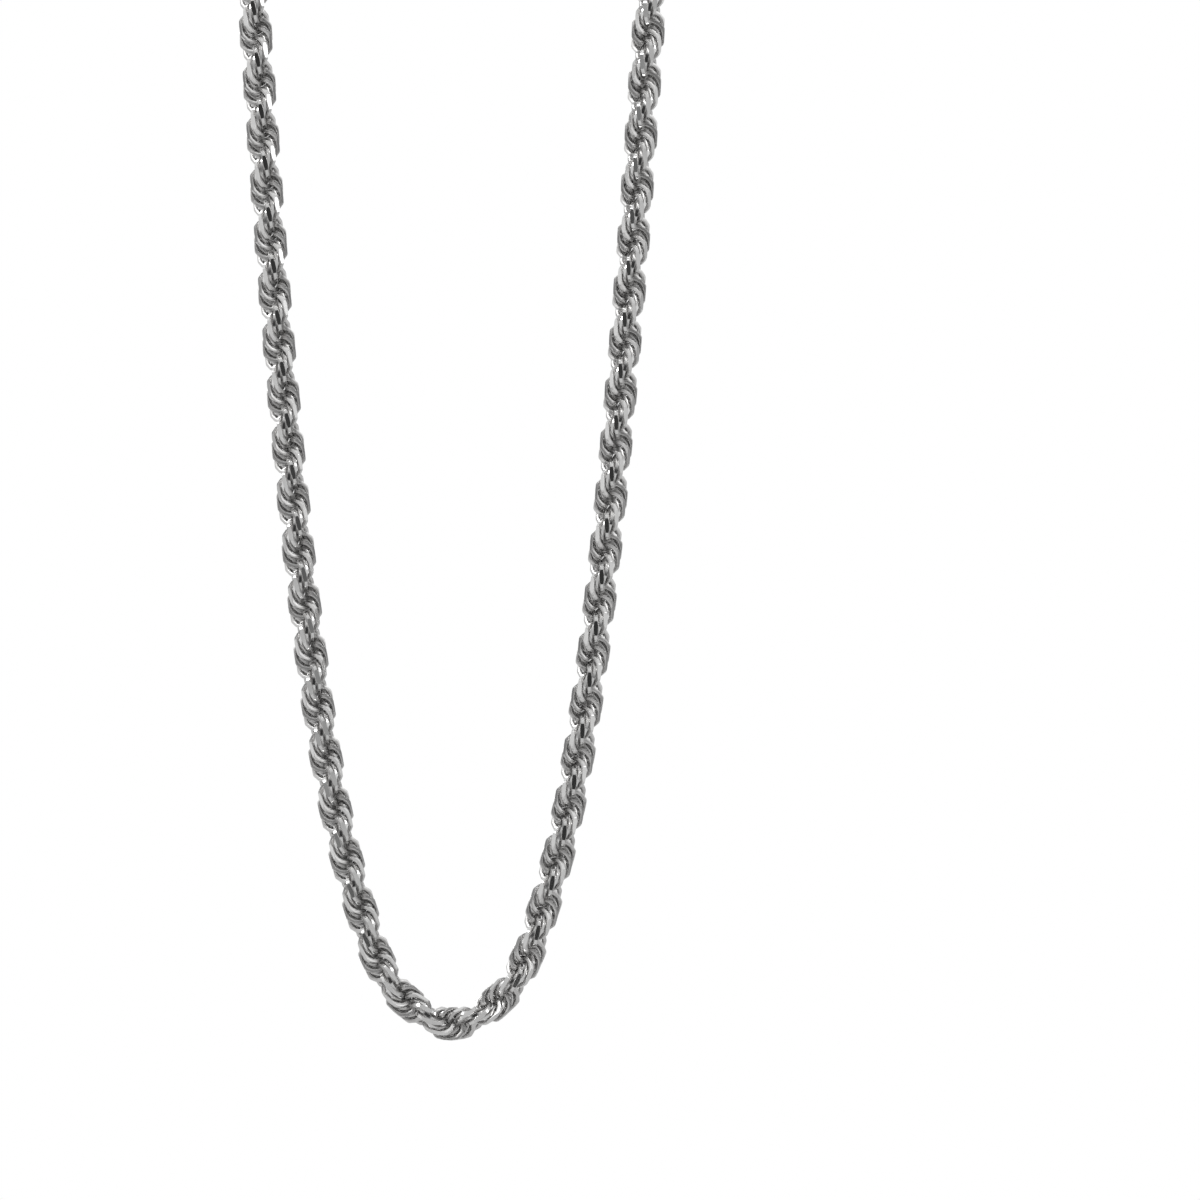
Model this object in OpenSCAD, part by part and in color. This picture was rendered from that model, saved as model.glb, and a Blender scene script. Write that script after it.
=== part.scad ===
// Rope chain necklace, fastened: a right-handed twisted rope in a closed loop, an end cap on each
// end of the rope, a jump ring and a lobster clasp with a sprung lever.
// Millimetres, +Z up. The loop lies in the XZ plane and is seen face on from -Y.
// The origin is the middle of the top of the loop, on the clasp's long axis, where the loop hangs.

/* [Rope] */
// Width across the two lobes of the rope
rope_w = 5; // [4:0.1:5.4]
// Width between two lobes, where the rope looks narrowest
waist_w = 2.8; // [2.2:0.1:3.4]
// Length of one whole turn of the twist, which shows as two lobes
rope_pitch = 15.5; // [12:0.5:20]
// Greatest length of rope inside each end cap
rope_insert = 5.5; // [3:0.5:5.5]

/* [End caps] */
// Length of a cap from its mouth to the end of its strap
cap_len = 12; // [11:0.1:14]
// Thickness of the sheet that a cap is made from
cap_wall = 0.35; // [0.25:0.05:0.4]
// Width of the strap that is folded over at the cap's narrow end
strap_w = 2.8; // [2:0.1:2.8]
// Outside radius of the strap's fold
fold_r = 1.15; // [1.15:0.05:1.4]
// Slope of each cap below the level line at the top of the loop
cap_tilt = 36; // [32:1:40]

/* [Jump ring] */
// Diameter of the jump ring at the middle of its wire
ring_d = 5.8; // [5.6:0.1:6.6]
// Thickness of the jump ring's wire
ring_wire = 0.9; // [0.7:0.05:0.9]

/* [Clasp] */
// Diameter of the hook at the middle of its wire
hook_d = 6.5; // [6.5:0.1:6.8]
// Thickness of the hook's wire
hook_wire = 1.3; // [1.1:0.05:1.3]
// Distance from the tail eye to the middle of the hook
clasp_reach = 9; // [8.9:0.1:9.2]
// Radius of the hole in the tail eye
tail_hole_r = 0.65; // [0.65:0.05:0.7]
// Radius of the pivot pin
pin_r = 0.35; // [0.3:0.05:0.4]
// Thickness of the lever
lever_t = 1.1; // [0.9:0.1:1.1]
// Angle that the lever turns through to open the hook
lever_travel = 28; // [20:1:28]

/* [Hidden] */
silver = [0.75, 0.75, 0.76];
dark_silver = [0.45, 0.45, 0.47];
$fn = 64;

// Layout of the pieces at the top of the loop, each hanging in the next at the middle of its wire
wire_seat = 1.5;
ring_r = ring_d / 2;
hook_r = hook_d / 2;
cap_reach = cap_len - wire_seat;
clasp_tilt = asin((hook_r - ring_r) * sin(cap_tilt) / (ring_r + clasp_reach));
strap_x = ((ring_r + hook_r) * cos(cap_tilt) + (ring_r + clasp_reach) * cos(clasp_tilt)) / 2;
tail_x = ring_r * (cos(cap_tilt) + cos(clasp_tilt)) - strap_x;
tail_z = tail_x * tan(clasp_tilt);
strap_z = tail_z - ring_r * (sin(cap_tilt) + sin(clasp_tilt));
ring_x = ring_r * cos(cap_tilt) - strap_x;
ring_z = strap_z + ring_r * sin(cap_tilt);
mouth_x = strap_x + cap_reach * cos(cap_tilt);
mouth_z = strap_z - cap_reach * sin(cap_tilt);

// Rope route as x and z. Its first points lie on the right cap's axis, and the rest shape a smooth
// curve down the right strand to the bottom. The left strand mirrors the right one.
lead = 9;
along_cap = [cos(cap_tilt), -sin(cap_tilt)];
strand_points = [
    [29.2, -20.5], [31.2, -29.5], [31.6, -40], [31.2, -52], [30.5, -64], [29.7, -77], [28.8, -90],
    [27.7, -106], [26.5, -122], [25.1, -138], [23.7, -153], [22.1, -168], [20.4, -181],
    [18.6, -193], [16.2, -205], [13.6, -214], [11.6, -220.5], [8.8, -226], [4.7, -229.4]
];
bottom_point = [0, -231.8];
right_side = concat([for (i = [-2:1]) [mouth_x, mouth_z] + i * lead * along_cap], strand_points);
left_side = [for (i = [len(right_side) - 1:-1:0]) [-right_side[i][0], right_side[i][1]]];
route = concat(right_side, [bottom_point], left_side);

// A smooth curve that the route's points pull towards themselves, as fine short steps
function curve_point(p, i, t) =
    (pow(1 - t, 3) * p[i] + (3 * pow(t, 3) - 6 * t * t + 4) * p[i + 1]
    + (3 * t + 3 * t * t - 3 * pow(t, 3) + 1) * p[i + 2] + pow(t, 3) * p[i + 3]) / 6;
curve_steps = 12;
last_span = len(route) - 4;
curve = [
    for (i = [0:last_span]) for (k = [0:curve_steps - 1]) curve_point(route, i, k / curve_steps),
    curve_point(route, last_span, 1)
];
curve_end = len(curve) - 1;

// Distance along the curve at each of its steps, then the curve's place and heading at a distance
curve_run = [for (k = 0, d = 0; k <= curve_end;
    d = d + norm(curve[min(k + 1, curve_end)] - curve[k]), k = k + 1) d];
curve_len = curve_run[curve_end];
x_at = [for (k = [0:curve_end]) [curve_run[k], curve[k][0]]];
z_at = [for (k = [0:curve_end]) [curve_run[k], curve[k][1]]];
sight = 0.4;
function place(s) = [lookup(s, x_at), lookup(s, z_at)];
function heading(s) = let (d = place(s + sight) - place(s - sight)) d / norm(d);

// The rope's section is an oval of two lobes that turns with the twist, a ring of points each step.
// The steps are counted from the bottom of the loop, where both lobes lie in the loop's plane.
section_sides = 10;
steps_per_turn = 10;
step_len = rope_pitch / steps_per_turn;
middle_s = curve_len / 2;
half_steps = floor((middle_s - lead + rope_insert) / step_len);
function section_ring(i) =
    let (s = middle_s + i * step_len, c = place(s), h = heading(s), twist = 360 * i / steps_per_turn)
    [for (j = [0:section_sides - 1])
        let (a = 360 * j / section_sides,
             u = rope_w / 2 * cos(a), v = waist_w / 2 * sin(a),
             across = u * cos(twist) - v * sin(twist), out = u * sin(twist) + v * cos(twist))
        [c[0] + across * h[1], out, c[1] - across * h[0]]];
function at_ring(i, j) = (i + half_steps) * section_sides + j % section_sides;

module rope() {
    points = [for (i = [-half_steps:half_steps]) each section_ring(i)];
    sides = [for (i = [-half_steps:half_steps - 1]) for (j = [0:section_sides - 1]) each [
        [at_ring(i, j), at_ring(i + 1, j + 1), at_ring(i, j + 1)],
        [at_ring(i, j), at_ring(i + 1, j), at_ring(i + 1, j + 1)]]];
    start = [for (j = [1:section_sides - 2])
        [at_ring(-half_steps, 0), at_ring(-half_steps, j), at_ring(-half_steps, j + 1)]];
    end = [for (j = [1:section_sides - 2])
        [at_ring(half_steps, 0), at_ring(half_steps, j + 1), at_ring(half_steps, j)]];
    color(silver) polyhedron(points = points, faces = concat(sides, start, end));
}

// End cap, standing on its mouth: a tube whose walls close in to a flat strap folded round a wire.
// The tube's left and right walls are cut away along two slopes up to the strap's edges.
bore_gap = 0.05;
cap_r = rope_w / 2 + bore_gap + cap_wall;
shoulder_z = 6.2;
strap_start_z = 9.8;
fold_z = cap_len - fold_r;

module cap_side(inset) {
    r = cap_r - inset;
    polygon([[-r, -inset], [r, -inset], [r, shoulder_z], [fold_r - inset, fold_z],
        [inset - fold_r, fold_z], [-r, shoulder_z]]);
    translate([0, fold_z]) circle(fold_r - inset);
}

module cap_front() {
    polygon([[-cap_r, 0], [cap_r, 0], [cap_r, shoulder_z], [strap_w / 2, strap_start_z],
        [strap_w / 2, cap_len], [-strap_w / 2, cap_len], [-strap_w / 2, strap_start_z],
        [-cap_r, shoulder_z]]);
}

module through_x(depth) {
    rotate([90, 0, 90]) linear_extrude(depth, center = true) children();
}

module through_y(depth) {
    rotate([90, 0, 0]) linear_extrude(depth, center = true) children();
}

module end_cap() {
    color(silver) difference() {
        intersection() {
            cylinder(r = cap_r, h = cap_len);
            through_y(2 * cap_r) cap_front();
            through_x(2 * cap_r) cap_side(0);
        }
        intersection() {
            translate([0, 0, -cap_wall]) cylinder(r = cap_r - cap_wall, h = cap_len);
            through_x(2 * cap_r) cap_side(cap_wall);
        }
    }
}

module end_cap_left() {
    translate([-mouth_x, 0, mouth_z]) rotate([0, 90 - cap_tilt, 0]) end_cap();
}

module end_cap_right() {
    translate([mouth_x, 0, mouth_z]) rotate([0, cap_tilt - 90, 0]) end_cap();
}

module jump_ring() {
    color(dark_silver) translate([ring_x, 0, ring_z]) rotate([90, 0, 0])
        rotate_extrude() translate([ring_r, 0]) circle(ring_wire / 2, $fn = 32);
}

// Clasp, standing on its tail eye with the hook at the top and the gate on the right.
// Its own x and z are written as pairs, and its pieces are flat shapes pushed through Y.
tail_eye_r = 1.1;
tail_eye_w = 1.6;
pivot = [1.25, 4.9];
hook_tip_angle = -25;
hook_root_angle = 205;
body_balls = [
    // x, z, radius
    [0.1, 1.4, 1],
    [-2.2, 4.7, 0.95],
    [-3.05, 7.6, 0.8],
    [2.15, 5.3, 0.85],
    [-0.3, 4.4, 1.45]
];
pin_gap = 0.04;
slot_gap = 0.1;
arm_w = 1;
gate_w = 1.2;
elbow = [-3.6, 4.5];
thumb_w = 1.2;
thumb_tip = [-5.1, 6.3];
gate_root = [2.45, 6.7];
gate_reach = 3.87;
gate_slot_w = 1.6;
gate_start_angle = -50;
gate_low_z = 5.6;
thumb_room = 6;
gate_room = 4;
pin_len = 2;

function angle_to(p) = atan2(p[1] - pivot[1], p[0] - pivot[0]);
function from_pivot(angle, d) = pivot + d * [cos(angle), sin(angle)];

// Bar between two points
module bar(a, b, w) {
    d = b - a;
    translate(a) rotate(atan2(d[1], d[0])) translate([0, -w / 2]) square([norm(d), w]);
}

// Room that an arm of the lever sweeps as it turns from rest to open
module swept(angle, w, reach) {
    side = w / 2 + slot_gap;
    rest_edge = from_pivot(angle - 90, side);
    open_edge = from_pivot(angle + lever_travel + 90, side);
    polygon([rest_edge, rest_edge + reach * [cos(angle), sin(angle)],
        open_edge + reach * [cos(angle + lever_travel), sin(angle + lever_travel)], open_edge]);
}

module clasp_place() {
    translate([tail_x, 0, tail_z]) rotate([0, 90 - clasp_tilt, 0]) children();
}

module clasp_hook() {
    difference() {
        translate([0, 0, clasp_reach]) rotate([90, 0, 0]) rotate([0, 0, hook_tip_angle])
            rotate_extrude(angle = hook_root_angle - hook_tip_angle)
                translate([hook_r, 0]) circle(hook_wire / 2, $fn = 32);
        through_y(2 * hook_wire) translate(pivot) circle(gate_reach + slot_gap);
    }
}

module clasp_drop() {
    hull() for (b = body_balls) translate([b[0], 0, b[1]]) sphere(b[2], $fn = 28);
}

module clasp_body() {
    slot_t = lever_t + 2 * slot_gap;
    right_through = 4;
    color(dark_silver) clasp_place() {
        difference() {
            union() {
                clasp_drop();
                rotate([0, 90, 0]) cylinder(r = tail_eye_r, h = tail_eye_w, center = true);
            }
            through_y(right_through) translate([0, clasp_reach]) circle(hook_r - hook_wire / 2);
            through_y(slot_t) {
                translate(pivot) circle(arm_w);
                swept(angle_to(elbow), thumb_w, thumb_room);
                swept(angle_to(gate_root), gate_slot_w, gate_room);
            }
            rotate([0, 90, 0]) cylinder(r = tail_hole_r, h = right_through, center = true);
        }
        clasp_hook();
        through_y(pin_len) translate(pivot) circle(pin_r);
    }
}

module lever_outline() {
    translate(pivot) circle(arm_w - slot_gap);
    bar(pivot, elbow, arm_w);
    translate(elbow) circle(thumb_w / 2);
    bar(elbow, thumb_tip, thumb_w);
    translate(thumb_tip) circle(thumb_w / 2);
    bar(pivot, gate_root, arm_w);
    intersection() {
        translate(pivot) circle(gate_reach);
        difference() {
            translate([0, clasp_reach]) circle(hook_r + gate_w / 2);
            translate([0, clasp_reach]) circle(hook_r - gate_w / 2);
        }
        polygon([[0, clasp_reach], [hook_d, clasp_reach], [hook_d, gate_low_z],
            [hook_d * cos(gate_start_angle), clasp_reach + hook_d * sin(gate_start_angle)]]);
    }
}

module clasp_lever() {
    color(dark_silver) clasp_place() through_y(lever_t) difference() {
        lever_outline();
        translate(pivot) circle(pin_r + pin_gap);
    }
}

rope();
end_cap_left();
end_cap_right();
jump_ring();
clasp_body();
clasp_lever();
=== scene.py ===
import math
import bmesh
import bpy
import numpy as np
from mathutils import Matrix, Vector


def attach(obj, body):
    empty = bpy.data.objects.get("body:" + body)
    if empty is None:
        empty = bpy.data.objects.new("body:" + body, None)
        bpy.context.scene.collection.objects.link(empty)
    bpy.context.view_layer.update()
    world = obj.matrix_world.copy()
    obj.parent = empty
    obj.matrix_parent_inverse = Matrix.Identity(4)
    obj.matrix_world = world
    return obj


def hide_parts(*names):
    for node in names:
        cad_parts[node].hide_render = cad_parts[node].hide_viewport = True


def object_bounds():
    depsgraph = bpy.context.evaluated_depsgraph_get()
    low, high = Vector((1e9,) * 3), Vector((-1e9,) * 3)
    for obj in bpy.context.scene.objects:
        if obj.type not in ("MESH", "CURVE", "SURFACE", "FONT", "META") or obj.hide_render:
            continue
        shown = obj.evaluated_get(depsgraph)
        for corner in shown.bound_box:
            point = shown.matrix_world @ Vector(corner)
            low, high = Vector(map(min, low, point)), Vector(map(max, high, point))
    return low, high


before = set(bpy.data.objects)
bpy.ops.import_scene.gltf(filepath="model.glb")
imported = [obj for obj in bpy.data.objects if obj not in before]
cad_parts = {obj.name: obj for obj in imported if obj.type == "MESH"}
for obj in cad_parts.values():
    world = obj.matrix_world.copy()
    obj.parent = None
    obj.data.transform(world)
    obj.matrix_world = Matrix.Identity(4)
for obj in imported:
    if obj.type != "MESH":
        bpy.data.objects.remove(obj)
cadLow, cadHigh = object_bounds()
print("frame loaded:", len(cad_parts), "nodes")


# Shader maths: plain expressions on sockets add the Math nodes
class shaderValue:
    def __init__(self, tree, socket):
        self.tree = tree
        self.socket = socket

    def combine(self, operation, first, second):
        return self.tree.add("ShaderNodeMath", {"operation": operation}, {0: first, 1: second})

    def __add__(self, other):
        return self.combine("ADD", self, other)

    def __radd__(self, other):
        return self.combine("ADD", other, self)

    def __sub__(self, other):
        return self.combine("SUBTRACT", self, other)

    def __mul__(self, other):
        return self.combine("MULTIPLY", self, other)


class shaderTree:
    def __init__(self, owner):
        owner.use_nodes = True
        self.nodes = owner.node_tree.nodes
        self.links = owner.node_tree.links
        self.nodes.clear()

    # Any node: its type, its settings, what goes into its sockets, and the output that is wanted
    def add(self, kind, settings=None, inputs=None, output=0):
        node = self.nodes.new(kind)
        for name, value in (settings or {}).items():
            if name == "stops":
                self.setStops(node.color_ramp, value)
            else:
                setattr(node, name, value)
        for name, value in (inputs or {}).items():
            if isinstance(value, shaderValue):
                self.links.new(value.socket, node.inputs[name])
            else:
                node.inputs[name].default_value = value
        return shaderValue(self, node.outputs[output]) if node.outputs else node

    def setStops(self, ramp, stops):
        for element, (place, shade) in zip(ramp.elements, stops):
            element.position = place
            element.color = (shade, shade, shade, 1)
        for place, shade in stops[len(ramp.elements):]:
            ramp.elements.new(place).color = (shade, shade, shade, 1)


mm = 0.001

# Where the pieces hang at the top of the loop, as the solids have them
layout = {
    "capTilt": math.radians(36),
    "capLength": 12 * mm,
    "wireSeat": 1.5 * mm,
    "jumpRingRadius": 2.9 * mm,
    "hookRadius": 3.25 * mm,
    "claspReach": 9 * mm,
}


def layOutTop(sizes):
    tilt, ring, hook, reach = (sizes[k] for k in ("capTilt", "jumpRingRadius", "hookRadius", "claspReach"))
    claspTilt = math.asin((hook - ring) * math.sin(tilt) / (ring + reach))
    strapX = ((ring + hook) * math.cos(tilt) + (ring + reach) * math.cos(claspTilt)) / 2
    tailX = ring * (math.cos(tilt) + math.cos(claspTilt)) - strapX
    tailZ = tailX * math.tan(claspTilt)
    strapZ = tailZ - ring * (math.sin(tilt) + math.sin(claspTilt))
    capReach = sizes["capLength"] - sizes["wireSeat"]
    return {
        "claspTilt": claspTilt,
        "tail": Vector((tailX, 0, tailZ)),
        "ring": Vector((ring * math.cos(tilt) - strapX, 0, strapZ + ring * math.sin(tilt))),
        "mouth": Vector((strapX + capReach * math.cos(tilt), 0, strapZ - capReach * math.sin(tilt))),
    }


top = layOutTop(layout)


def makePiece(name, bm, materials):
    mesh = bpy.data.meshes.new(name)
    bm.to_mesh(mesh)
    bm.free()
    piece = bpy.data.objects.new(name, mesh)
    bpy.context.scene.collection.objects.link(piece)
    for material in materials:
        mesh.materials.append(material)
    return piece


meshing = {
    "planeSlack": 1e-7,         # how close to a cutting plane a corner counts as on it
    "weld": 0.004 * mm,
    "fineWeld": 0.001 * mm,
    "flat": math.radians(1),    # faces that meet at less than this are merged before edges are rounded
    "smoothing": 0.5,
}


# Cuts a mesh with a plane, drops what lies ahead of it and closes the hole; gives the new faces
def keepBehind(bm, point, normal):
    cut = bmesh.ops.bisect_plane(bm, geom=bm.verts[:] + bm.edges[:] + bm.faces[:], dist=meshing["planeSlack"],
                                 plane_co=point, plane_no=normal, clear_outer=True)
    rim = [part for part in cut["geom_cut"] if isinstance(part, bmesh.types.BMEdge)]
    return bmesh.ops.holes_fill(bm, edges=rim, sides=0)["faces"]


# Silver: every finish is one metal with its own polish, drawn lines and dulling
def silverMaterial(name, finish):
    material = bpy.data.materials.new(name)
    tree = shaderTree(material)
    spot = tree.add("ShaderNodeTexCoord", output="Object")
    turned = tree.add("ShaderNodeMapping", inputs={"Vector": spot, "Rotation": finish["turn"],
                                                   "Scale": finish["stretch"]})
    lines = tree.add("ShaderNodeTexNoise", inputs={"Vector": turned, "Scale": finish["lineScale"],
                                                   **finish["lineNoise"]})
    patches = tree.add("ShaderNodeTexNoise", inputs={"Vector": spot, **finish["patchNoise"]})
    dulled = tree.add("ShaderNodeValToRGB", {"stops": finish["patchStops"]}, {"Fac": patches})
    colour = tree.add("ShaderNodeMix", {"data_type": "RGBA"},
                      {"Factor": dulled * finish["dulling"], "A": (*finish["colour"], 1),
                       "B": (*finish["dullColour"], 1)}, output="Result")
    roughness = (finish["roughness"] + (lines - 0.5) * finish["lineRoughness"]
                 + dulled * finish["dullRoughness"])
    bump = tree.add("ShaderNodeBump", inputs={"Strength": finish["bump"], "Distance": finish["bumpDepth"],
                                              "Height": lines})
    shader = tree.add("ShaderNodeBsdfPrincipled", inputs={
        "Base Color": colour, "Metallic": 1.0, "Roughness": roughness, "Normal": bump})
    tree.add("ShaderNodeOutputMaterial", inputs={"Surface": shader})
    return material


wireFinish = {
    "colour": (0.86, 0.855, 0.85), "dullColour": (0.62, 0.61, 0.60), "dulling": 0.5,
    "roughness": 0.4, "lineRoughness": 0.12, "dullRoughness": 0.08,
    "turn": (0, 0, 0), "stretch": (1, 1, 1),
    "lineScale": 6000.0, "lineNoise": {"Detail": 3.0, "Roughness": 0.6},
    "patchNoise": {"Scale": 500.0, "Detail": 4.0, "Roughness": 0.55}, "patchStops": ((0.35, 0), (0.7, 1)),
    "bump": 0.12, "bumpDepth": 0.02 * mm,
}
cutFinish = {**wireFinish, "roughness": 0.12, "lineRoughness": 0.04, "dullRoughness": 0.03,
             "colour": (0.92, 0.92, 0.915), "dulling": 0.3, "bump": 0.03}
drawnWire = silverMaterial("drawn_silver_wire", wireFinish)
diamondCut = silverMaterial("diamond_cut_silver", cutFinish)

# The rope's route in the XZ plane, as the solid has it: the right cap's axis, the right strand and the bottom
route = {
    "lead": 0.009,
    "strand": (
        (0.0292, -0.0205), (0.0312, -0.0295), (0.0316, -0.04), (0.0312, -0.052), (0.0305, -0.064),
        (0.0297, -0.077), (0.0288, -0.09), (0.0277, -0.106), (0.0265, -0.122), (0.0251, -0.138),
        (0.0237, -0.153), (0.0221, -0.168), (0.0204, -0.181), (0.0186, -0.193), (0.0162, -0.205),
        (0.0136, -0.214), (0.0116, -0.2205), (0.0088, -0.226), (0.0047, -0.2294)),
    "bottom": (0.0, -0.2318),
    "curveSteps": 24,
    "sight": 0.4 * mm,
}


def routeCurve():
    alongCap = Vector((math.cos(layout["capTilt"]), -math.sin(layout["capTilt"])))
    mouth = Vector((top["mouth"].x, top["mouth"].z))
    lead = [mouth + i * route["lead"] * alongCap for i in (-2, -1, 0, 1)]
    right = lead + [Vector(p) for p in route["strand"]]
    pulls = right + [Vector(route["bottom"])] + [Vector((-p.x, p.y)) for p in reversed(right)]
    spots = []
    for a, b, c, d in zip(pulls, pulls[1:], pulls[2:], pulls[3:]):
        for step in range(route["curveSteps"]):
            t = step / route["curveSteps"]
            spots.append(((1 - t) ** 3 * a + (3 * t ** 3 - 6 * t * t + 4) * b
                          + (3 * t + 3 * t * t - 3 * t ** 3 + 1) * c + t ** 3 * d) / 6)
    return spots


# The rope's links: open rings of wire, each turned half round and on along the spiral from the last.
# The wire is round but for a narrow band that is shaved flat all along its outer side, and one flat diamond
# cut where the ring stands furthest out.
links = {
    "pitch": 15.5 * mm,
    "spacing": 1.4 * mm,        # from a link to the next one on the same side
    "wireRadius": 0.375 * mm,
    "roundness": 1.05,          # brings the five-sided wire to the bulk of a round one
    "besidePlace": -0.28,       # where the wire's side corners lie, from its middle inwards
    "ringRadius": 2.126 * mm,
    "offset": 0.304 * mm,       # the ring's centre from the rope's axis
    "lean": math.radians(83),
    "gap": math.radians(25),
    "gapPlace": math.radians(258),
    "ringSteps": 14,
    "bandDepth": 0.06 * mm,
    "bandSlack": 1.01,
    "cutDepth": 0.36 * mm,
    "insert": 5.5 * mm,         # greatest length of rope inside each cap
}


def openRing():
    wire, ring, band = links["wireRadius"], links["ringRadius"], links["bandDepth"]
    gap = links["gap"] + 2 * wire / ring
    bandHalf = math.sqrt(band * (2 * wire - band))
    inner, beside = -links["roundness"] * wire, links["besidePlace"] * wire
    section = [(wire - band, bandHalf), (beside, -inner), (inner, 0), (beside, inner),
               (wire - band, -bandHalf)]
    bm = bmesh.new()
    start = bm.faces.new([bm.verts.new((ring + x, 0, z)) for x, z in section])
    bmesh.ops.rotate(bm, cent=(0, 0, 0), matrix=Matrix.Rotation(links["gapPlace"] + gap / 2, 3, "Z"),
                     verts=bm.verts)
    bmesh.ops.spin(bm, geom=[start] + start.edges[:] + start.verts[:], cent=(0, 0, 0), axis=(0, 0, 1),
                   angle=2 * math.pi - gap, steps=links["ringSteps"], use_duplicate=False)
    bmesh.ops.recalc_face_normals(bm, faces=bm.faces)
    bandEdge = ring + wire - links["bandSlack"] * band
    for face in bm.faces:
        face.smooth = True
        if len(face.verts) == 4 and all(v.co.xy.length > bandEdge for v in face.verts):
            face.material_index = 1
    for face in keepBehind(bm, (ring + wire - links["cutDepth"], 0, 0), (1, 0, 0)):
        face.smooth = False
        face.material_index = 1
    for edge in bm.edges:
        kinds = {(face.material_index, face.smooth) for face in edge.link_faces}
        edge.smooth = len(kinds) == 1
    lean = links["lean"]
    along = Vector((0, math.cos(lean), -math.sin(lean)))
    across = Vector((1, 0, 0))
    facing = across.cross(along)
    stand = Matrix((across, along, facing)).transposed().to_4x4()
    stand.translation = (links["offset"], 0, 0)
    bmesh.ops.transform(bm, matrix=stand, verts=bm.verts)
    mesh = bpy.data.meshes.new("open_ring")
    bm.to_mesh(mesh)
    bm.free()
    return mesh


def ropeLinks():
    spots = np.array(routeCurve())
    runs = np.concatenate(([0], np.cumsum(np.linalg.norm(np.diff(spots, axis=0), axis=1))))
    middle = runs[-1] / 2
    step = links["spacing"] / 2
    half = int((middle - route["lead"] + links["insert"]) / step)
    ring = openRing()
    corners = np.empty(len(ring.vertices) * 3)
    ring.vertices.foreach_get("co", corners)
    x, y, z = corners.reshape(-1, 3).T
    bm = bmesh.new()

    def spotAt(run):
        return np.array([np.interp(run, runs, spots[:, axis]) for axis in (0, 1)])

    for k in range(-half, half + 1):
        turn = k * math.pi + 2 * math.pi * k * step / links["pitch"]
        across = x * math.cos(turn) - y * math.sin(turn)
        out = x * math.sin(turn) + y * math.cos(turn)
        along = middle + k * step + z
        place = spotAt(along)
        sight = spotAt(along + route["sight"]) - spotAt(along - route["sight"])
        heading = sight / np.linalg.norm(sight, axis=0)
        bent = np.stack((place[0] + across * heading[1], out, place[1] - across * heading[0]), axis=1)
        copy = ring.copy()
        copy.vertices.foreach_set("co", bent.ravel())
        bm.from_mesh(copy)
        bpy.data.meshes.remove(copy)
    print("rope links:", 2 * half + 1, "with", sum(len(f.verts) - 2 for f in bm.faces), "triangles")
    return makePiece("rope_links", bm, [drawnWire, diamondCut])


def replaceNode(piece, node, body):
    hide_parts(node)
    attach(piece, body)


replaceNode(ropeLinks(), "rope", "necklace")


def tempObject(bm):
    mesh = bpy.data.meshes.new("temp")
    bm.to_mesh(mesh)
    bm.free()
    holder = bpy.data.objects.new("temp", mesh)
    bpy.context.scene.collection.objects.link(holder)
    return holder


# Runs modifiers over a mesh and gives the result back; a tool is a mesh that is cut away
def modified(bm, steps):
    holder = tempObject(bm)
    tools = []
    for kind, settings in steps:
        modifier = holder.modifiers.new(kind, kind)
        for name, value in settings.items():
            if name == "object":
                value = tempObject(value)
                tools.append(value)
            setattr(modifier, name, value)
    result = bmesh.new()
    result.from_object(holder, bpy.context.evaluated_depsgraph_get())
    for spare in [holder] + tools:
        mesh = spare.data
        bpy.data.objects.remove(spare)
        bpy.data.meshes.remove(mesh)
    return result


def cutAway(tool):
    return ("BOOLEAN", {"operation": "DIFFERENCE", "solver": "EXACT", "object": tool})


# A flat plate whose outline lies in the XZ plane
def plate(corners, thickness):
    half = Vector((0, thickness / 2, 0))
    bm = bmesh.new()
    face = bm.faces.new([bm.verts.new(corner - half) for corner in corners])
    grown = bmesh.ops.extrude_face_region(bm, geom=[face])
    far = [part for part in grown["geom"] if isinstance(part, bmesh.types.BMVert)]
    bmesh.ops.translate(bm, vec=2 * half, verts=far)
    bmesh.ops.recalc_face_normals(bm, faces=bm.faces)
    return bm


def roundEdges(bm, width, segments, angle):
    bmesh.ops.remove_doubles(bm, verts=bm.verts, dist=meshing["weld"])
    bmesh.ops.dissolve_limit(bm, angle_limit=meshing["flat"], verts=bm.verts, edges=bm.edges)
    sharp = [e for e in bm.edges if e.is_manifold and e.calc_face_angle() > math.radians(angle)]
    bmesh.ops.bevel(bm, geom=sharp, offset=width, offset_type="OFFSET", segments=segments, profile=0.5,
                    affect="EDGES", clamp_overlap=True, material=-1)
    bmesh.ops.recalc_face_normals(bm, faces=bm.faces)


# End caps, each standing on its mouth at first, with x to the sides and y to the front and back
cap = {
    "radius": 2.898 * mm,
    "wall": 0.35 * mm,
    "shoulder": 6.2 * mm,
    "strapStart": 9.8 * mm,
    "strapWidth": 2.8 * mm,
    "foldRadius": 1.15 * mm,
    "sides": 96,
    "foldSteps": 12,
    "spare": 1.2,               # how far the cutting plates reach past the sheet
    "edge": 0.06 * mm,
    "edgeSegments": 2,
    "edgeAngle": 30,
    "shadeAngle": 35,
}


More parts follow.
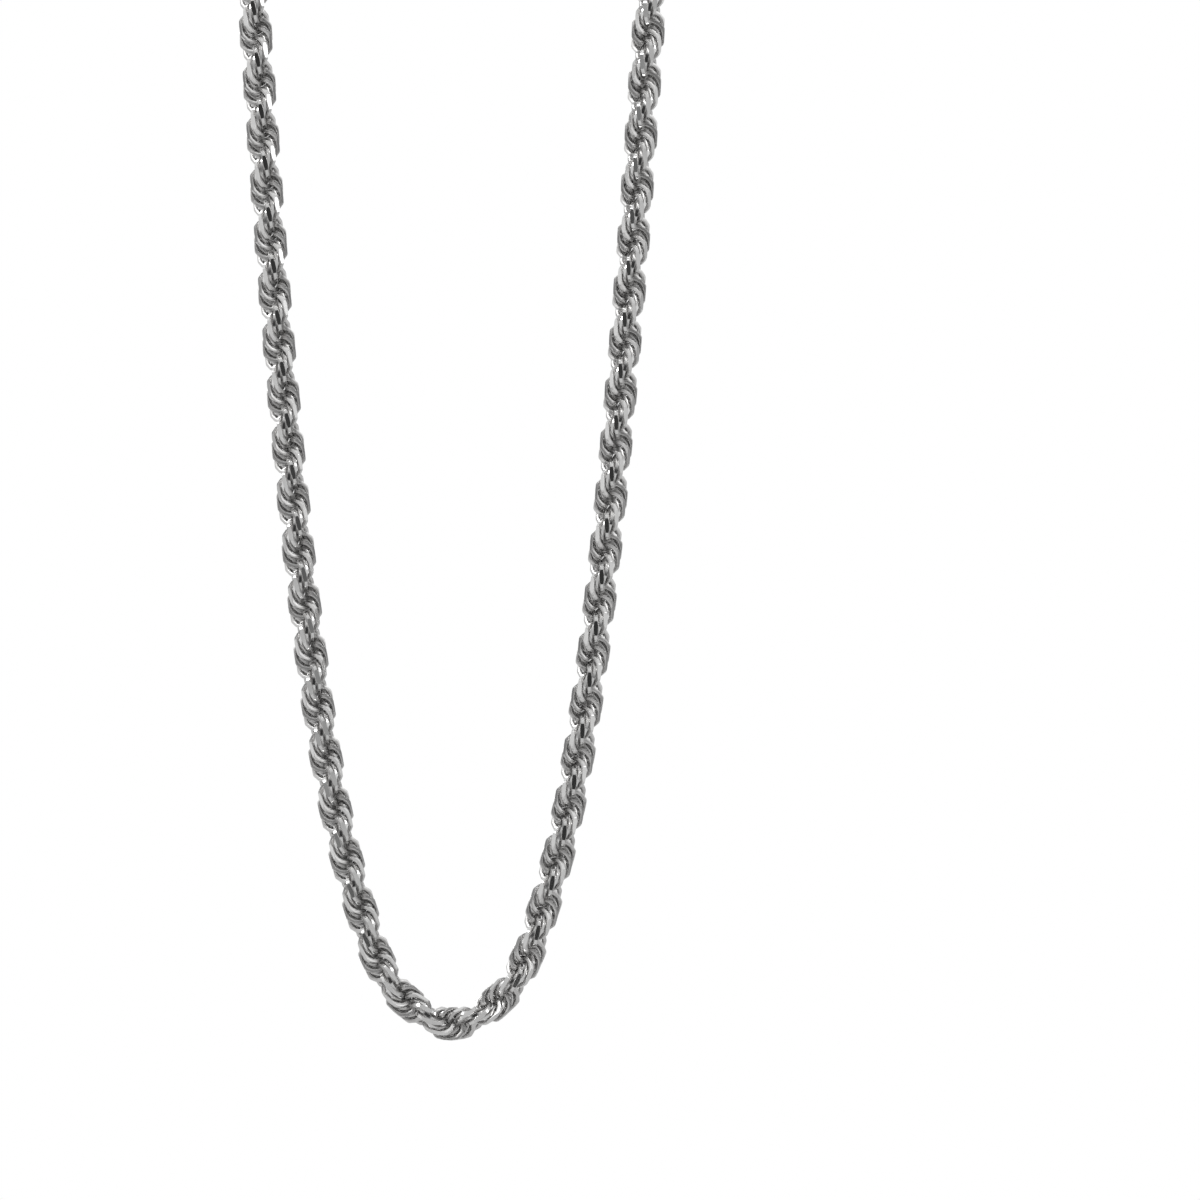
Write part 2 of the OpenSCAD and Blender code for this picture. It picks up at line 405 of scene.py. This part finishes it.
# A round bar whose front and back slope in to a fold
def capBlock(inset, start):
    radius, fold = cap["radius"] - inset, cap["foldRadius"] - inset
    foldZ = layout["capLength"] - cap["foldRadius"]
    bm = bmesh.new()
    bmesh.ops.create_cone(bm, cap_ends=True, segments=cap["sides"], radius1=radius, radius2=radius,
                          depth=layout["capLength"] - start)
    bmesh.ops.translate(bm, vec=(0, 0, (layout["capLength"] + start) / 2), verts=bm.verts)
    for side in (1, -1):
        keepBehind(bm, (0, side * fold, foldZ), (0, side * (foldZ - cap["shoulder"]), radius - fold))
    for step in range(1, cap["foldSteps"]):
        angle = math.pi * step / cap["foldSteps"]
        facing = Vector((0, math.cos(angle), math.sin(angle)))
        keepBehind(bm, Vector((0, 0, foldZ)) + fold * facing, facing)
    return bm


def capShell():
    bm = capBlock(0, 0)
    radius, spare = cap["radius"], cap["spare"]
    end = spare * layout["capLength"]
    for side in (1, -1):
        inner = Vector((side * cap["strapWidth"] / 2, 0, cap["strapStart"]))
        outer = inner + spare * (Vector((side * radius, 0, cap["shoulder"])) - inner)
        corners = (inner, outer, Vector((outer.x, 0, end)), Vector((inner.x, 0, end)))
        bm = modified(bm, [cutAway(plate(corners, 2 * spare * radius))])
    bm = modified(bm, [cutAway(capBlock(cap["wall"], -cap["wall"]))])
    roundEdges(bm, cap["edge"], cap["edgeSegments"], cap["edgeAngle"])
    return bm


capFinish = {**wireFinish, "roughness": 0.12, "lineRoughness": 0.1, "stretch": (1, 1, 0.06),
             "lineScale": 5000.0, "bump": 0.1, "dulling": 0.35}
for node, side in (("end_cap_left", 1), ("end_cap_right", -1)):
    turn = side * (math.pi / 2 - layout["capTilt"])
    shell = capShell()
    seat = Matrix.Translation((-side * top["mouth"].x, 0, top["mouth"].z)) @ Matrix.Rotation(turn, 4, "Y")
    bmesh.ops.transform(shell, matrix=seat, verts=shell.verts)
    sheet = silverMaterial("cap_sheet_silver_" + node[8:], {**capFinish, "turn": (0, -turn, 0)})
    piece = makePiece(node + "_sheet", shell, [sheet])
    piece.data.shade_smooth()
    piece.data.set_sharp_from_angle(angle=math.radians(cap["shadeAngle"]))
    replaceNode(piece, node, "necklace")

claspFinish = {**wireFinish, "roughness": 0.1, "lineRoughness": 0.06, "colour": (0.8, 0.8, 0.8), "bump": 0.05}
castSilver = silverMaterial("cast_silver", claspFinish)

# Jump ring: round wire, soldered shut
jumpRing = {"wireRadius": 0.45 * mm, "wireSides": 20, "steps": 72}


def jumpRingWire():
    bm = bmesh.new()
    bmesh.ops.create_circle(bm, segments=jumpRing["wireSides"], radius=jumpRing["wireRadius"])
    bmesh.ops.translate(bm, vec=(layout["jumpRingRadius"], 0, 0), verts=bm.verts)
    bmesh.ops.spin(bm, geom=bm.verts[:] + bm.edges[:], cent=(0, 0, 0), axis=(0, 1, 0), angle=2 * math.pi,
                   steps=jumpRing["steps"], use_merge=True, use_duplicate=False)
    bmesh.ops.remove_doubles(bm, verts=bm.verts, dist=meshing["fineWeld"])
    bmesh.ops.recalc_face_normals(bm, faces=bm.faces)
    bmesh.ops.translate(bm, vec=top["ring"], verts=bm.verts)
    return bm


ringPiece = makePiece("jump_ring_wire", jumpRingWire(), [castSilver])
ringPiece.data.shade_smooth()
replaceNode(ringPiece, "jump_ring", "necklace")

# Clasp, made in its own frame and then seated: z from the tail eye to the hook, x to the gate's side,
# y to the front and back. The casting is a soft pillow with the eye, its rim and the lever's slots cut in.
clasp = {
    "balls": (                  # x, z and radius of the balls that the body is drawn over
        (0.1, 1.4, 1.0), (-2.2, 4.7, 0.95), (-3.05, 7.6, 0.8), (2.15, 5.3, 0.85), (-0.3, 4.4, 1.45)),
    "ballDetail": 4,
    "barSides": 80,
    "pillowVoxel": 0.11 * mm,
    "pillowSoftness": 14,
    "hookWire": 0.65 * mm,
    "hookAngles": (-25, 205),
    "hookSides": 28,
    "hookSteps": 48,
    "rootAngle": 140,           # from here to its end the hook's wire thickens
    "rootSwell": 0.22,
    "rootPlace": 188,
    "rootBlend": 1.6 * mm,      # the reach and the passes of the smoothing where the hook leaves the body
    "rootPasses": 40,
    "rimStart": 0.5 * mm,       # from the middle plane, where the rim's chamfer starts
    "rimEnd": 1.6 * mm,
    "tailRadius": 1.1 * mm,
    "tailHole": 0.65 * mm,
    "tailWidth": 1.6 * mm,
    "pivot": Vector((1.25 * mm, 0, 4.9 * mm)),
    "pivotRoom": 1.0 * mm,
    "pinRadius": 0.35 * mm,
    "pinLength": 2 * mm,
    "slotWidth": 1.3 * mm,
    "slots": ((184.7, 1.4 * mm, 6 * mm), (56.3, 1.8 * mm, 4 * mm)),     # rest angle, width and reach
    "travel": 28,
    "gateReach": 3.97 * mm,
    "through": 5 * mm,
    "voxel": 0.06 * mm,
    "softness": 4,
    "leverVoxel": 0.045 * mm,
    "leverSoftness": 10,
    "grooves": (-47, -41.5, -36, -30.5),
    "grooveWidth": 0.13 * mm,
    "grooveDepth": 0.16 * mm,
}
claspSeat = Matrix.Translation(top["tail"]) @ Matrix.Rotation(math.pi / 2 - top["claspTilt"], 4, "Y")
eye = Vector((0, 0, layout["claspReach"]))


def bar(axis, middle, radius, length, endRadius=None):
    bm = bmesh.new()
    lie = Matrix.Rotation(math.pi / 2, 4, axis)
    bmesh.ops.create_cone(bm, cap_ends=True, segments=clasp["barSides"], radius1=radius, depth=length,
                          radius2=radius if endRadius is None else endRadius,
                          matrix=Matrix.Translation(middle) @ lie)
    return bm


def joined(parts):
    whole = bmesh.new()
    for part in parts:
        mesh = bpy.data.meshes.new("temp")
        part.to_mesh(mesh)
        part.free()
        whole.from_mesh(mesh)
        bpy.data.meshes.remove(mesh)
    return whole


def softened(bm, voxel, softness):
    return modified(bm, [
        ("REMESH", {"mode": "VOXEL", "voxel_size": voxel}),
        ("SMOOTH", {"factor": meshing["smoothing"], "iterations": softness})])


def pillow():
    bm = bmesh.new()
    for x, z, radius in clasp["balls"]:
        bmesh.ops.create_icosphere(bm, subdivisions=clasp["ballDetail"], radius=radius * mm,
                                   matrix=Matrix.Translation((x * mm, 0, z * mm)))
    bmesh.ops.delete(bm, geom=bm.faces[:], context="FACES_ONLY")
    bmesh.ops.delete(bm, geom=bm.edges[:], context="EDGES_FACES")
    bmesh.ops.convex_hull(bm, input=bm.verts[:], use_existing_faces=False)
    bmesh.ops.delete(bm, geom=[v for v in bm.verts if not v.link_faces], context="VERTS")
    return softened(bm, clasp["pillowVoxel"], clasp["pillowSoftness"])


# Room that an arm of the lever sweeps as it opens, a flat wedge through the body's middle
def leverSlot(degrees, width, reach):
    def step(angle, distance):
        turn = math.radians(angle)
        return distance * Vector((math.cos(turn), 0, math.sin(turn)))

    opened = degrees + clasp["travel"]
    restEdge = clasp["pivot"] + step(degrees - 90, width / 2)
    openEdge = clasp["pivot"] + step(opened + 90, width / 2)
    corners = (restEdge, restEdge + step(degrees, reach), openEdge + step(opened, reach), openEdge)
    return plate(corners, clasp["slotWidth"])


def hookArc():
    low, high = (math.radians(angle) for angle in clasp["hookAngles"])
    bm = bmesh.new()
    bmesh.ops.create_circle(bm, cap_ends=True, segments=clasp["hookSides"], radius=clasp["hookWire"])
    bmesh.ops.translate(bm, vec=(layout["hookRadius"], 0, 0), verts=bm.verts)
    bmesh.ops.rotate(bm, cent=(0, 0, 0), matrix=Matrix.Rotation(-low, 3, "Y"), verts=bm.verts)
    bmesh.ops.spin(bm, geom=bm.verts[:] + bm.edges[:] + bm.faces[:], cent=(0, 0, 0), axis=(0, -1, 0),
                   angle=high - low, steps=clasp["hookSteps"], use_duplicate=False)
    bmesh.ops.recalc_face_normals(bm, faces=bm.faces)
    root = math.radians(clasp["rootAngle"])
    for vert in bm.verts:
        angle = (math.atan2(vert.co.z, vert.co.x) - low) % (2 * math.pi) + low
        outward = Vector((math.cos(angle), 0, math.sin(angle)))
        middle = layout["hookRadius"] * outward
        swell = clasp["rootSwell"] * max(0, (angle - root) / (high - root)) ** 2
        vert.co = middle + (vert.co - middle) * (1 + swell) + swell * clasp["hookWire"] * outward
    bmesh.ops.translate(bm, vec=eye, verts=bm.verts)
    return modified(bm, [cutAway(bar("X", clasp["pivot"], clasp["gateReach"], clasp["through"]))])


def claspCasting():
    rim = clasp["rimEnd"] - clasp["rimStart"]
    rimMiddle = Vector((0, (clasp["rimStart"] + clasp["rimEnd"]) / 2, 0))
    inner = layout["hookRadius"] - clasp["hookWire"]
    zero = Vector((0, 0, 0))
    cuts = [
        bar("X", eye, inner, clasp["through"]),
        bar("X", eye - rimMiddle, inner, rim, inner + rim),
        bar("X", eye + rimMiddle, inner + rim, rim, inner),
        bar("X", clasp["pivot"], clasp["pivotRoom"], clasp["slotWidth"]),
        bar("Y", zero, clasp["tailHole"], clasp["through"])]
    cuts += [leverSlot(*slot) for slot in clasp["slots"]]
    body = pillow()
    for cut in cuts:
        body = modified(body, [cutAway(cut)])
    tail = modified(bar("Y", zero, clasp["tailRadius"], clasp["tailWidth"]),
                    [cutAway(bar("Y", zero, clasp["tailHole"], clasp["through"]))])
    pin = bar("X", clasp["pivot"], clasp["pinRadius"], clasp["pinLength"])
    whole = softened(joined([body, tail, hookArc(), pin]), clasp["voxel"], clasp["softness"])
    turn = math.radians(clasp["rootPlace"])
    root = eye + layout["hookRadius"] * Vector((math.cos(turn), 0, math.sin(turn)))
    near = [vert for vert in whole.verts if (vert.co - root).length < clasp["rootBlend"]]
    for _ in range(clasp["rootPasses"]):
        bmesh.ops.smooth_vert(whole, verts=near, factor=meshing["smoothing"],
                              use_axis_x=True, use_axis_y=True, use_axis_z=True)
    return whole


casting = claspCasting()
bmesh.ops.transform(casting, matrix=claspSeat, verts=casting.verts)
bodyPiece = makePiece("clasp_body_casting", casting, [castSilver])
bodyPiece.data.shade_smooth()
replaceNode(bodyPiece, "clasp_body", "necklace")


# The lever keeps its solid's outline, with soft edges and four shallow grooves across each face of the gate
def leverCasting():
    bm = bmesh.new()
    bm.from_mesh(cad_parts["clasp_lever"].data)
    bmesh.ops.remove_doubles(bm, verts=bm.verts, dist=meshing["fineWeld"])
    bm = modified(bm, [("REMESH", {"mode": "VOXEL", "voxel_size": clasp["leverVoxel"]})])
    bmesh.ops.transform(bm, matrix=claspSeat.inverted(), verts=bm.verts)
    for vert in bm.verts:
        spoke = vert.co - eye
        degrees = math.degrees(math.atan2(spoke.z, spoke.x))
        away = min(abs(degrees - groove) for groove in clasp["grooves"])
        share = math.radians(away) * math.hypot(spoke.x, spoke.z) / clasp["grooveWidth"]
        if share < 1 and abs(spoke.x) > clasp["pivot"].x:
            depth = clasp["grooveDepth"] * (1 + math.cos(math.pi * share)) / 2
            vert.co.y -= math.copysign(min(depth, abs(spoke.y)), spoke.y)
    bmesh.ops.transform(bm, matrix=claspSeat, verts=bm.verts)
    return modified(bm, [("SMOOTH", {"factor": meshing["smoothing"], "iterations": clasp["leverSoftness"]})])


leverPiece = makePiece("clasp_lever_casting", leverCasting(), [castSilver])
leverPiece.data.shade_smooth()
replaceNode(leverPiece, "clasp_lever", "lever")
for piece in (bodyPiece, leverPiece, ringPiece):
    print(piece.name, len(piece.data.polygons), "faces")

# Studio
studio = {
    "cameraTarget": (0.0221, 0.0, -0.1677),
    "frameWidth": 0.1791,
    "lens": 200.0,
    "sensor": 36.0,
    "roomTones": (              # from the camera's side to the far side
        (0.0, 0.03), (0.08, 0.04), (0.2, 0.48), (0.5, 0.66), (0.8, 0.74), (0.9, 0.62), (0.97, 0.3),
        (1.0, 0.2)),
    "aboveShift": 0.08,         # how far the tones move on for what lies above
    "sideShift": 0.3,           # and for what lies to the sides
    "lightAim": (0, 0, -0.12),
    "lights": {                 # place, size and power
        "key_light": ((-0.5, -0.35, 0.6), 0.4, 5.0),
        "fill_light": ((0.6, -0.3, 0.1), 0.3, 0.4)},
    "floorDrop": 0.07,
    "floorRadius": 0.35,
    "floorSides": 96,
    "floorShade": 0.55,
    "floorRoughness": 0.6,
    "floorGrain": 900.0,
    "floorUnevenness": 0.1,
}


def makeCamera():
    camera = bpy.data.cameras.new("camera")
    camera.lens = studio["lens"]
    camera.sensor_width = studio["sensor"]
    holder = bpy.data.objects.new("camera", camera)
    distance = studio["frameWidth"] * studio["lens"] / studio["sensor"]
    holder.location = Vector(studio["cameraTarget"]) - Vector((0, distance, 0))
    holder.rotation_euler = (math.pi / 2, 0, 0)
    bpy.context.scene.collection.objects.link(holder)
    bpy.context.scene.camera = holder


def makeWorld():
    world = bpy.data.worlds.new("studio")
    bpy.context.scene.world = world
    tree = shaderTree(world)
    direction = tree.add("ShaderNodeTexCoord", output="Generated")
    side, back, above = (
        tree.add("ShaderNodeSeparateXYZ", inputs={0: direction}, output=axis) for axis in "XYZ")
    depth = back * 0.5 + 0.5 + above * studio["aboveShift"] + side * side * studio["sideShift"]
    room = tree.add("ShaderNodeValToRGB", {"stops": studio["roomTones"]}, {"Fac": depth})
    seen = tree.add("ShaderNodeLightPath", output="Is Camera Ray")
    colour = tree.add("ShaderNodeMix", {"data_type": "RGBA"},
                      {"Factor": seen, "A": room, "B": (1, 1, 1, 1)}, output="Result")
    backdrop = tree.add("ShaderNodeBackground", inputs={"Color": colour, "Strength": 1.0})
    tree.add("ShaderNodeOutputWorld", inputs={"Surface": backdrop})


def makeLight(name, spot, size, power):
    light = bpy.data.lights.new(name, "AREA")
    light.size = size
    light.energy = power
    holder = bpy.data.objects.new(name, light)
    holder.location = spot
    aim = Vector(studio["lightAim"]) - Vector(spot)
    holder.rotation_euler = aim.to_track_quat("-Z", "Y").to_euler()
    bpy.context.scene.collection.objects.link(holder)


def makeFloor():
    bm = bmesh.new()
    bmesh.ops.create_circle(bm, cap_ends=True, segments=studio["floorSides"], radius=studio["floorRadius"])
    bmesh.ops.translate(bm, vec=(0, 0, cadLow.z - studio["floorDrop"]), verts=bm.verts)
    material = bpy.data.materials.new("pale_floor")
    tree = shaderTree(material)
    spot = tree.add("ShaderNodeTexCoord", output="Object")
    grain = tree.add("ShaderNodeTexNoise", inputs={"Vector": spot, "Scale": studio["floorGrain"]})
    shade = studio["floorShade"]
    shader = tree.add("ShaderNodeBsdfPrincipled", inputs={
        "Base Color": (shade, shade, shade, 1),
        "Roughness": studio["floorRoughness"] + (grain - 0.5) * studio["floorUnevenness"]})
    tree.add("ShaderNodeOutputMaterial", inputs={"Surface": shader})
    floor = makePiece("floor", bm, [material])


makeCamera()
makeWorld()
for lightName, light in studio["lights"].items():
    makeLight(lightName, *light)
makeFloor()
bpy.context.scene.view_settings.view_transform = "Standard"

print("scene ready")
